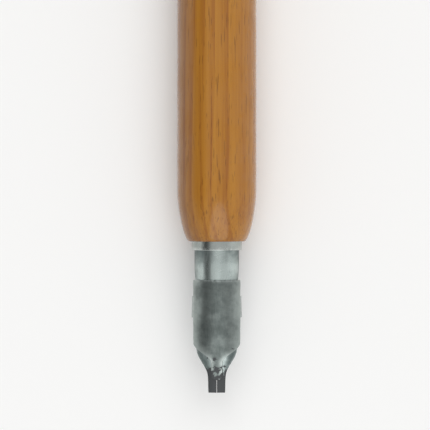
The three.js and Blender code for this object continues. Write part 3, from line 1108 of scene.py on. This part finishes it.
    def leaf(self, middle: float) -> Shell:
        """Bend one leaf: an arc round the axis whose radius follows the leaf's line.

        Its reach to each side widens from the tip as a quarter ellipse.

        Args:
            middle: The turn that the leaf is centred on, in radians.

        Returns:
            The leaf's shell.
        """
        along, radius = self.leaf_line()
        from_tip = np.clip((along - self.leaf_start) / self.leaf_tip, 0, 1)
        full = np.sqrt(1 - (1 - from_tip) ** 2)
        share = self.leaf_tip_share + (1 - self.leaf_tip_share) * full
        reach = math.radians(self.leaf_wrap) * share[:, None]
        turn = middle + reach * np.linspace(-1, 1, self.leaf_columns + 1)

        def side(inset: float) -> Array:
            """Give one side of the leaf.

            Args:
                inset: Its distance inside the leaf's outer side.

            Returns:
                The points, rows by columns by three.
            """
            at = (radius - inset)[:, None]
            places = np.broadcast_to(along[:, None], turn.shape)
            return np.stack([at * np.sin(turn), places, at * np.cos(turn)], axis=-1)

        keep = np.ones((turn.shape[0] - 1, turn.shape[1] - 1), bool)
        edge = (reach - np.abs(turn - middle)) * self.leaf_radius
        rim = np.exp(-edge / self.leaf_rim)
        marks = {Mark.RIM: rim, Mark.DULL: np.full(turn.shape, self.leaf_dull)}
        return bent_sheet(side(0), side(self.crown_sheet), keep, marks)

    def washer(self) -> Shell:
        """Cut the crown's washer: a flat ring from its eye to its edge.

        Returns:
            The washer's shell.
        """
        turn = np.linspace(0, 2 * np.pi, self.washer_columns + 1)
        radius = np.linspace(self.crown_eye, self.crown_edge, 8)[:, None]

        def side(along: float) -> Array:
            """Give one side of the washer.

            Args:
                along: Its place along the ferrule.

            Returns:
                The points, rows by columns by three.
            """
            x, z = radius * np.sin(turn), radius * np.cos(turn)
            return np.stack([x, np.full_like(x, along), z], axis=-1)

        shape = (len(radius), len(turn))
        marks = {Mark.RIM: np.zeros(shape), Mark.DULL: np.full(shape, self.washer_dull)}
        keep = np.ones((len(radius) - 1, len(turn) - 1), bool)
        return bent_sheet(side(self.crown_start), side(self.crown_start + self.crown_sheet), keep, marks)

    def crown(self) -> bpy.types.Object:
        """Join the washer and its leaves.

        Returns:
            The piece, not dressed yet.
        """
        place = (0, self.datum.rim, self.datum.axis)
        turns = 2 * np.pi * np.arange(self.leaf_count) / self.leaf_count
        shells = [self.washer(), *(self.leaf(turn) for turn in turns)]
        parts = [shell.piece("crown_spring", place) for shell in shells]
        with bpy.context.temp_override(active_object=parts[0], selected_editable_objects=parts):
            bpy.ops.object.join()
        soften(parts[0], self.crown_round)
        return parts[0]

    def build(self) -> list[bpy.types.Object]:
        """Make the ferrule and the crown and dress them.

        Returns:
            The two pieces.
        """
        plate = self.tube_finish.material(self.effects)
        spring = self.crown_finish.material(self.effects)
        return [
            settle(self.tube(), "ferrule_tube", Body.HOLDER, plate),
            settle(self.crown(), "crown_clip", Body.HOLDER, spring),
        ]


@dataclass
class BroadNib:
    """The stamped and arched nib, with its vent and the slit that runs from it through the edge.

    A wrap is how far the sheet reaches to each side of its spine, in degrees, and a drop is how far
    its back lies below the top of the shank.
    """

    datum: Datum
    effects: Effects
    thickness: float = 0.25
    edge_thickness: float = 0.12
    blade_end: float = 2.2
    shoulder_end: float = 4.8
    body_full: float = 7.5
    body_end: float = 12.5
    waist_top: float = 13.2
    waist_end: float = 15.2
    heel_start: float = 30.0
    length: float = 31.0
    edge_width: float = 1.9
    blade_width: float = 2.14
    shoulder_width: float = 4.6
    body_width: float = 4.8
    shank_radius: float = 2.55
    edge_wrap: float = 12.0
    blade_wrap: float = 17.0
    shoulder_wrap: float = 43.0
    body_front_wrap: float = 57.0
    body_rear_wrap: float = 74.0
    shank_wrap: float = 102.0
    heel_wrap: float = 88.0
    edge_drop: float = 2.35
    blade_drop: float = 1.85
    shoulder_drop: float = 0.95
    body_drop: float = 0.5
    waist_drop: float = 0.06
    vent_place: float = 9.2
    vent_radius: float = 0.75
    slit: float = 0.05
    fan: float = 0.5
    columns: int = 20
    rim_reach: float = 0.1
    edge_round: float = 0.03
    ink_along: tuple[Pair, ...] = (
        (0, 1.05), (1.7, 0.86), (3.4, 0.3), (8.0, 0.28), (13.0, 0.2), (16.5, 0.0)
    )
    slit_ink: float = 0.4
    slit_ink_reach: float = 0.25
    # Painted shade that grows down the sides.
    side_shade_across: tuple[Pair, ...] = ((0, 0.05), (0.22, 0.28), (0.55, 0.5), (0.8, 0.72), (1.0, 0.9))
    # A painted highlight just behind the saddle, partly polish where the reservoir rubs, and painted shade
    # towards the ferrule.
    highlight_and_shade_along: tuple[Pair, ...] = ((12.0, 0.1), (13.2, -0.2), (14.2, -0.2), (15.2, 0.1), (18.0, 0.3))
    finish: SheetMetal = SheetMetal("nib steel", "bfcac7", "606a69", "ccd4d2", rough=0.22)
    arch: Curve = field(init=False)
    wrap: Curve = field(init=False)
    top: Curve = field(init=False)
    sheet: Curve = field(init=False)

    def __post_init__(self) -> None:
        """Work out the curves of the arch: its radius, its wrap, its highest line and its sheet."""
        self.arch = smooth_through(
            (0, self.arch_of(self.edge_width, self.edge_wrap)),
            (self.blade_end, self.arch_of(self.blade_width, self.blade_wrap)),
            (self.shoulder_end, self.arch_of(self.shoulder_width, self.shoulder_wrap)),
            (self.body_full, self.arch_of(self.body_width, self.body_front_wrap)),
            (self.body_end, self.arch_of(self.body_width, self.body_rear_wrap)),
            (self.waist_end, self.shank_radius),
            (self.length, self.shank_radius),
        )
        wrap = smooth_through(
            (0, self.edge_wrap),
            (self.blade_end, self.blade_wrap),
            (self.shoulder_end, self.shoulder_wrap),
            (self.body_full, self.body_front_wrap),
            (self.body_end, self.body_rear_wrap),
            (self.waist_end, self.shank_wrap),
            (self.heel_start, self.shank_wrap),
            (self.length, self.heel_wrap),
        )
        drop = smooth_through(
            (0, self.edge_drop),
            (self.blade_end, self.blade_drop),
            (self.shoulder_end, self.shoulder_drop),
            (self.body_full, self.body_drop),
            (self.waist_top, self.waist_drop),
            (self.waist_end, 0),
            (self.length, 0),
        )
        self.wrap = lambda along: np.radians(wrap(along))
        self.top = lambda along: self.shank_radius - drop(along)
        self.sheet = smooth_through(
            (0, self.edge_thickness), (self.blade_end, self.thickness), (self.length, self.thickness)
        )

    @staticmethod
    def arch_of(width: float, wrap: float) -> float:
        """Give the radius of an arch with this width at this wrap."""
        return width / 2 / math.sin(math.radians(wrap))

    def bent(self, along: Array, turn: Array, off: Array | float) -> Array:
        """Bend places round the arch.

        A point lies at the arch's radius plus its distance off the back, turned from the spine. The
        arch's centre hangs below the spine's height by that radius.

        Args:
            along: Places back from the writing edge.
            turn: Turns from the spine, in radians.
            off: Distances off the nib's back.

        Returns:
            The points, with three values in the last axis.
        """
        radius = self.arch(along)
        x = (radius + off) * np.sin(turn)
        z = self.top(along) - radius + (radius + off) * np.cos(turn)
        return np.stack(np.broadcast_arrays(x, along, z), axis=-1)

    def inner_line(self) -> tuple[Array, Array]:
        """Give half the nib's inner border: along the slit, round the vent, then down the spine.

        Returns:
            The places along the nib and the distances from the middle.
        """
        meet = math.asin(self.slit / 2 / self.vent_radius)
        front = self.vent_place - self.vent_radius * math.cos(meet)
        rear = self.vent_place + self.vent_radius
        round_vent = np.linspace(meet, np.pi, 25)
        slit = in_turn(np.linspace(0, self.blade_end, 19), np.linspace(self.blade_end, front, 39))
        spine = in_turn(
            np.linspace(rear, self.waist_end, 34),
            np.linspace(self.waist_end, self.heel_start, 45),
            np.linspace(self.heel_start, self.length, 9),
        )
        along = in_turn(slit, self.vent_place - self.vent_radius * np.cos(round_vent), spine)
        edge = np.full_like(slit, self.slit / 2)
        away = in_turn(edge, self.vent_radius * np.sin(round_vent), np.zeros_like(spine))
        return along, np.where(along < rear - 1e-9, away, 0)

    def outer_line(self, inner: Array) -> Array:
        """Give the places of the nib's side that the rows run to.

        They are the inner border's places, spread apart beside the vent, where rows fan out from it.

        Args:
            inner: The inner border's places.

        Returns:
            One place for each row.
        """
        front = self.vent_place - self.vent_radius
        rear = self.vent_place + self.vent_radius
        spread = smooth_through(
            (0, 0),
            (self.blade_end, self.blade_end),
            (front, front - self.fan),
            (rear, rear + self.fan),
            (self.waist_end, self.waist_end),
            (self.length, self.length),
        )
        rows = np.arange(len(inner), dtype=float)
        vent = (inner >= front) & (inner <= rear)
        even = np.interp(rows, rows[vent][[0, -1]], [front, rear])
        return spread(np.where(vent, even, inner))

    def grid(self) -> tuple[Array, Array]:
        """Lay the grid over the whole sheet.

        Each row runs from the inner border to the side. Its place goes evenly from one border's to
        the other's, and its turn from the border's turn to the wrap.

        Returns:
            The places along the nib and the turns, rows by columns, left half and right half.
        """
        inner, away = self.inner_line()
        outer = self.outer_line(inner)
        share = np.linspace(0, 1, self.columns + 1)
        along = inner[:, None] + (outer - inner)[:, None] * share
        start = np.arcsin(away / self.arch(inner))[:, None]
        turn = start + (self.wrap(along) - start) * share
        both = np.concatenate([along[:, ::-1], along], axis=1)
        return both, np.concatenate([-turn[:, ::-1], turn], axis=1)

    def rim(self, along: Array, turn: Array) -> Array:
        """Give how near the sheet's borders each place is: exp(-distance / reach).

        Args:
            along: Places back from the writing edge.
            turn: Turns from the spine, in radians.

        Returns:
            From 1 on the borders to 0 well inside.
        """
        arch = self.arch(along)
        side = (self.wrap(along) - np.abs(turn)) * arch
        behind = np.maximum(along - self.vent_place, 0) / self.rim_reach
        from_slit = np.abs(turn) * arch + behind
        from_vent = np.hypot(turn * arch, along - self.vent_place) - self.vent_radius
        near = np.minimum.reduce([side, along, self.length - along, from_slit, from_vent])
        return np.exp(-np.maximum(near, 0) / self.rim_reach)

    def dullness_and_shade(self, along: Array, turn: Array) -> Array:
        """Give how dull the steel is: painted shade down the sides and by the ferrule, and a painted
        highlight behind the saddle, partly polish from the reservoir's rubbing.

        Args:
            along: Places back from the writing edge.
            turn: Turns from the spine, in radians.

        Returns:
            From 0 where it is bright to 1 where it is dull.
        """
        across = smooth_through(*self.side_shade_across)(np.abs(turn) / self.wrap(along))
        return across + smooth_through(*self.highlight_and_shade_along)(along)

    def build(self) -> list[bpy.types.Object]:
        """Bend the nib and dress it.

        Returns:
            The nib, as a list of one piece.
        """
        along, turn = self.grid()
        keep = np.ones((along.shape[0] - 1, along.shape[1] - 1), bool)
        keep[:, self.columns] = False
        ink = smooth_through(*self.ink_along)(along)
        from_slit = np.abs(turn) * self.arch(along) / self.slit_ink_reach
        in_slit = np.exp(-from_slit) * (along < self.vent_place)
        marks = {
            Mark.RIM: self.rim(along, turn),
            Mark.INK: ink + self.slit_ink * in_slit,
            Mark.DULL: self.dullness_and_shade(along, turn),
        }
        back = self.bent(along, turn, 0)
        shell = bent_sheet(back, self.bent(along, turn, -self.sheet(along)), keep, marks)
        piece = shell.piece("broad_nib", (0, self.datum.writing_edge, self.datum.axis))
        soften(piece, self.edge_round)
        return [settle(piece, "nib", Body.NIB, self.finish.material(self.effects))]


@dataclass
class SlipReservoir:
    """The slip-on reservoir: a saddle with a tongue, and two lugs folded under the nib's sides."""

    nib: BroadNib
    thickness: float = 0.2
    ink_gap: float = 0.15
    tongue_gap: float = 0.07
    tongue_start: float = 1.5
    tongue_round: float = 0.6
    tongue_width: float = 1.2
    tongue_tip: float = 0.15
    flare_start: float = 3.5
    flare_end: float = 5.7
    corner_start: float = 12.0
    saddle_end: float = 12.9
    saddle_corner: float = 0.85
    lug_front: float = 8.625
    lug_length: float = 2.4
    lug_reach: float = 0.6
    lug_bend: float = 0.12
    lug_gap: float = 0.1
    lug_corner: float = 0.35
    saddle_columns: int = 40
    fold_columns: int = 9
    reach_columns: int = 6
    edge_round: float = 0.035
    rim_reach: float = 0.14
    lug_rim: float = 0.15
    tongue_ink: float = 0.66
    ink_along: tuple[Pair, ...] = ((3.0, 0.44), (4.6, 0.24), (8.0, 0.14), (13.0, 0.08))
    # Painted light across the saddle: shade on the crest, highlight down the sides.
    crest_shade: float = 0.75
    side_highlight: float = 0.65
    lug_dull: float = 0.1
    finish: SheetMetal = SheetMetal(
        "reservoir metal", "98a09d", "59605e", "adb4b2", rough=0.28, rough_spread=0.14
    )

    def half_width(self, along: Array) -> Array:
        """Give the reservoir's half width as a turn round the arch.

        The tongue's end and the saddle's rear corners are quarter ellipses, and a flare leads from
        the tongue to the nib's own width by the share 3s^2 - 2s^3.

        Args:
            along: Places back from the writing edge.

        Returns:
            The turns, in radians.
        """
        arch, wrap = self.nib.arch(along), self.nib.wrap(along)
        into_tip = np.clip((along - self.tongue_start) / self.tongue_round, 0, 1)
        full = np.sqrt(1 - (1 - into_tip) ** 2)
        tongue = self.tongue_tip + (self.tongue_width / 2 - self.tongue_tip) * full
        tongue_turn = np.arcsin(tongue / arch)
        into_flare = np.clip((along - self.flare_start) / (self.flare_end - self.flare_start), 0, 1)
        flare = into_flare**2 * (3 - 2 * into_flare)
        into_corner = np.clip((along - self.corner_start) / (self.saddle_end - self.corner_start), 0, 1)
        corner = 1 - (1 - self.saddle_corner) * (1 - np.sqrt(1 - into_corner**2))
        return (tongue_turn + (wrap - tongue_turn) * flare) * corner

    def gap(self, along: Array) -> Array:
        """Give the gap between the nib and the reservoir: it closes towards the tongue's end."""
        curve = smooth_through(
            (self.tongue_start, self.tongue_gap),
            (self.flare_start, self.ink_gap),
            (self.saddle_end, self.ink_gap),
        )
        return curve(along)

    def lug_height(self) -> float:
        """Give the height of the lugs' upper face: a little under the lowest side that they pass.

        Returns:
            The height from the pen's axis.
        """
        past = np.linspace(self.nib.shoulder_end, self.lug_front + self.lug_length, 9)
        low = self.nib.bent(past, self.nib.wrap(past), -self.nib.thickness)[..., 2]
        return float(low.min()) - self.lug_gap

    def lug(self, along: Array, fold: Array, reach: Array, off: float) -> Array:
        """Give points of the right lug.

        It leaves the saddle's arc where a tight bend ends at the lugs' height, goes round that bend
        by its fold and runs in level by its reach. Its end has rounded corners.

        Args:
            along: Places back from the writing edge.
            fold: Shares of the way round the bend.
            reach: Shares of the way in.
            off: The distance from the reservoir's inner side.

        Returns:
            The points, with three values in the last axis.
        """
        hub = self.nib.arch(along) + self.ink_gap - self.lug_bend
        centre = self.nib.top(along) - self.nib.arch(along)
        start = np.arccos((self.lug_height() + self.lug_bend - centre) / hub)
        turn = start + (np.pi - start) * fold
        half = self.lug_length / 2
        past = np.maximum(np.abs(along - self.lug_front - half) - half + self.lug_corner, 0)
        cut = self.lug_corner - np.sqrt(np.maximum(self.lug_corner**2 - past**2, 0))
        x = hub * np.sin(start) + (self.lug_bend + off) * np.sin(turn) - (self.lug_reach - cut) * reach
        z = centre + hub * np.cos(start) + (self.lug_bend + off) * np.cos(turn)
        return np.stack(np.broadcast_arrays(x, along, z), axis=-1)

    def rows(self) -> tuple[Array, Array]:
        """Lay the grid's rows, which lie closest together where the outline is round.

        Returns:
            The places along the nib, and which rows of cells the lugs have.
        """
        lug_rear = self.lug_front + self.lug_length
        lug_middle = self.lug_front + self.lug_length / 2
        tongue_full = self.tongue_start + self.tongue_round
        along = in_turn(
            eased(self.tongue_start, tongue_full, 12),
            np.linspace(tongue_full, self.flare_start, 12),
            np.linspace(self.flare_start, self.flare_end, 24),
            np.linspace(self.flare_end, self.lug_front, 18),
            eased(self.lug_front, lug_middle, 14),
            eased(lug_rear, lug_middle, 14)[::-1],
            np.linspace(lug_rear, self.corner_start, 6),
            eased(self.saddle_end, self.corner_start, 12)[::-1],
        )
        middle = (along[1:] + along[:-1]) / 2
        return along, (middle > self.lug_front) & (middle < lug_rear)

    def marks(self, along: Array, share: Array) -> dict[Mark, Array]:
        """Give the marks of the whole sheet: the saddle's own, and plain ones for the lugs.

        Args:
            along: Places back from the writing edge, one row each.
            share: Shares of the half width across the saddle.

        Returns:
            Rim, ink, and the dull-and-shade tone, rows by columns.
        """
        lug_columns = self.fold_columns + self.reach_columns
        margin = ((0, 0), (lug_columns, lug_columns))
        edge = (1 - np.abs(share)) * self.half_width(along) * self.nib.arch(along)
        near = np.minimum(edge, np.minimum(along - self.tongue_start, self.saddle_end - along))
        near = np.pad(near, margin, constant_values=self.lug_rim)
        ink = smooth_through((self.tongue_start, self.tongue_ink), *self.ink_along)(along)
        # Painted light: the crest is darkened as painted shade and the sides are lightened as painted
        # highlight.
        dull = np.broadcast_to(self.crest_shade - self.side_highlight * share**2, edge.shape)
        return {
            Mark.RIM: np.exp(-near / self.rim_reach),
            Mark.INK: np.pad(np.broadcast_to(ink, edge.shape), margin),
            Mark.DULL: np.pad(dull, margin, constant_values=self.lug_dull),
        }

    def build(self) -> list[bpy.types.Object]:
        """Cut and fold the reservoir and dress it.

        Returns:
            The reservoir, as a list of one piece.
        """
        rows, with_lug = self.rows()
        along = rows[:, None]
        share = np.linspace(-1, 1, self.saddle_columns + 1)
        level, bent = np.zeros(self.fold_columns - 1), np.ones(self.reach_columns)
        fold = np.concatenate([np.linspace(0, 1, self.fold_columns), bent])
        reach = np.concatenate([level, np.linspace(0, 1, self.reach_columns + 1)])
        turn = share * self.half_width(along)

        def side(off: float) -> Array:
            """Give one side of the sheet: left lug, saddle and right lug.

            Args:
                off: Its distance from the reservoir's inner side.

            Returns:
                The points, rows by columns by three.
            """
            saddle = self.nib.bent(along, turn, self.gap(along) + off)
            right = self.lug(along, fold, reach, off)
            return np.concatenate([(right * (-1, 1, 1))[:, ::-1], saddle, right], axis=1)

        keep = np.ones((len(rows) - 1, 2 * len(fold) + self.saddle_columns), bool)
        keep[~with_lug, : len(fold)] = False
        keep[~with_lug, -len(fold) :] = False
        shell = bent_sheet(side(self.thickness), side(0), keep, self.marks(along, share))
        datum = self.nib.datum
        piece = shell.piece("slip_reservoir", (0, datum.writing_edge, datum.axis))
        soften(piece, self.edge_round)
        finish = self.finish.material(self.nib.effects)
        return [settle(piece, "ink_reservoir", Body.RESERVOIR, finish)]


@dataclass(frozen=True)
class SoftLamp:
    """A wide studio lamp so far away that it lights the whole floor alike.

    Attributes:
        name: The lamp's name.
        way: The direction towards it.
        spread: How wide it looks, in degrees.
        level: Its share of the light on the floor.
    """

    name: str
    way: Triple
    spread: float
    level: float

    def hang(self) -> None:
        """Make the lamp and turn it to the pen."""
        way = Vector(self.way).normalized()
        lamp = bpy.data.lights.new(self.name, "SUN")
        lamp.angle = math.radians(self.spread)
        lamp.energy = self.level * math.pi / way.z
        hung = bpy.data.objects.new(self.name, lamp)
        hung.location = way
        hung.rotation_mode = "QUATERNION"
        hung.rotation_quaternion = way.to_track_quat("Z", "Y")
        bpy.context.scene.collection.objects.link(hung)


@dataclass
class Studio:
    """The pale floor, the soft light and the camera straight above the writing end."""

    datum: Datum
    floor_width: float = 9000.0
    floor_colour: str = "f8f8f7"
    floor_rough: float = 0.9
    floor_gloss: float = 0.1
    sky: float = 0.58
    zenith: float = 0.66
    horizon: float = 0.93
    flag_way: Triple = (-0.8, 0.0, 0.64)
    flag_edge: float = 0.88
    flag_shade: float = 0.12
    lens: float = 135.0
    sensor: float = 36.0
    field: float = 49.02
    tip_share: float = 0.913
    aside: float = 0.2
    lamps: tuple[SoftLamp, ...] = (
        SoftLamp("back lamp", (0.15, 0.87, 1.0), 58.0, 0.21),
        SoftLamp("front lamp", (0.15, -0.87, 1.0), 58.0, 0.21),
    )

    def floor(self) -> None:
        """Lay the floor: one flat matt square."""
        half = self.floor_width / 2 / METRE
        mesh = bpy.data.meshes.new("floor")
        corners = [(-half, -half, 0), (half, -half, 0), (half, half, 0), (-half, half, 0)]
        mesh.from_pydata(corners, [], [(0, 1, 2, 3)])
        floor = bpy.data.objects.new("floor", mesh)
        bpy.context.scene.collection.objects.link(floor)
        made = bpy.data.materials.new("pale floor")
        made.use_nodes = True
        surface = {
            "Base Color": colour(self.floor_colour),
            "Roughness": self.floor_rough,
            "Specular IOR Level": self.floor_gloss,
        }
        Sketch(made.node_tree).feed(made.node_tree.nodes["Principled BSDF"], surface)
        mesh.materials.append(made)

    def world(self) -> None:
        """Light the room.

        The walls light the pen evenly. The eye and every gloss see them pale at the horizon and
        darker overhead, and darker again round the flag's way, where a grey screen stands.
        """
        world = bpy.data.worlds.new("studio")
        world.use_nodes = True
        bpy.context.scene.world = world
        sketch = Sketch(world.node_tree)
        direction = sketch.add("ShaderNodeTexCoord", {}).outputs["Generated"]
        upwards = sketch.towards(direction, (0, 0, 1))
        wall = sketch.ramp(upwards, 0.0, 1.0, self.horizon, self.zenith)
        flag = sketch.towards(direction, self.flag_way)
        shade = sketch.ramp(flag, self.flag_edge, 1.0, 1.0, self.flag_shade)
        ray = sketch.add("ShaderNodeLightPath", {}).outputs
        mirrored = sketch.sum_of("MAXIMUM", ray["Is Glossy Ray"], ray["Is Transmission Ray"])
        seen = sketch.sum_of("MAXIMUM", ray["Is Camera Ray"], mirrored)
        strength = sketch.between(seen, self.sky, sketch.times(wall, shade))
        sketch.feed(world.node_tree.nodes["Background"], {"Color": (1, 1, 1, 1), "Strength": strength})

    def camera(self) -> None:
        """Set the camera straight above the pen, with the tip at its share of the way down."""
        lens = bpy.data.cameras.new("camera")
        lens.lens = self.lens
        lens.sensor_width = self.sensor
        lens.dof.use_dof = False
        distance = self.field * self.lens / self.sensor
        middle = self.datum.writing_edge + self.field * (self.tip_share - 0.5)
        aim = Vector((-self.aside, middle, self.datum.axis)) / METRE
        camera = bpy.data.objects.new("camera", lens)
        camera.location = aim + Vector((0, 0, distance)) / METRE
        bpy.context.scene.collection.objects.link(camera)
        bpy.context.scene.camera = camera

    def build(self) -> None:
        """Set up the studio."""
        self.floor()
        self.world()
        self.camera()
        for lamp in self.lamps:
            lamp.hang()
        bpy.context.scene.view_settings.view_transform = "Standard"


def main() -> None:
    """Build the pen and its studio, and report each piece."""
    logging.basicConfig(level=logging.INFO, format="%(name)s: %(message)s")
    datum = Datum.from_frame()
    effects = Effects.made()
    nib = BroadNib(datum, effects)
    for assembly in (TurnedHolder(datum, effects), FerruleInsert(datum, effects), nib, SlipReservoir(nib)):
        for piece in assembly.build():
            LOG.info("%s has %d points", piece.name, len(piece.data.vertices))
    Studio(datum).build()


if __name__ == "__main__":
    main()
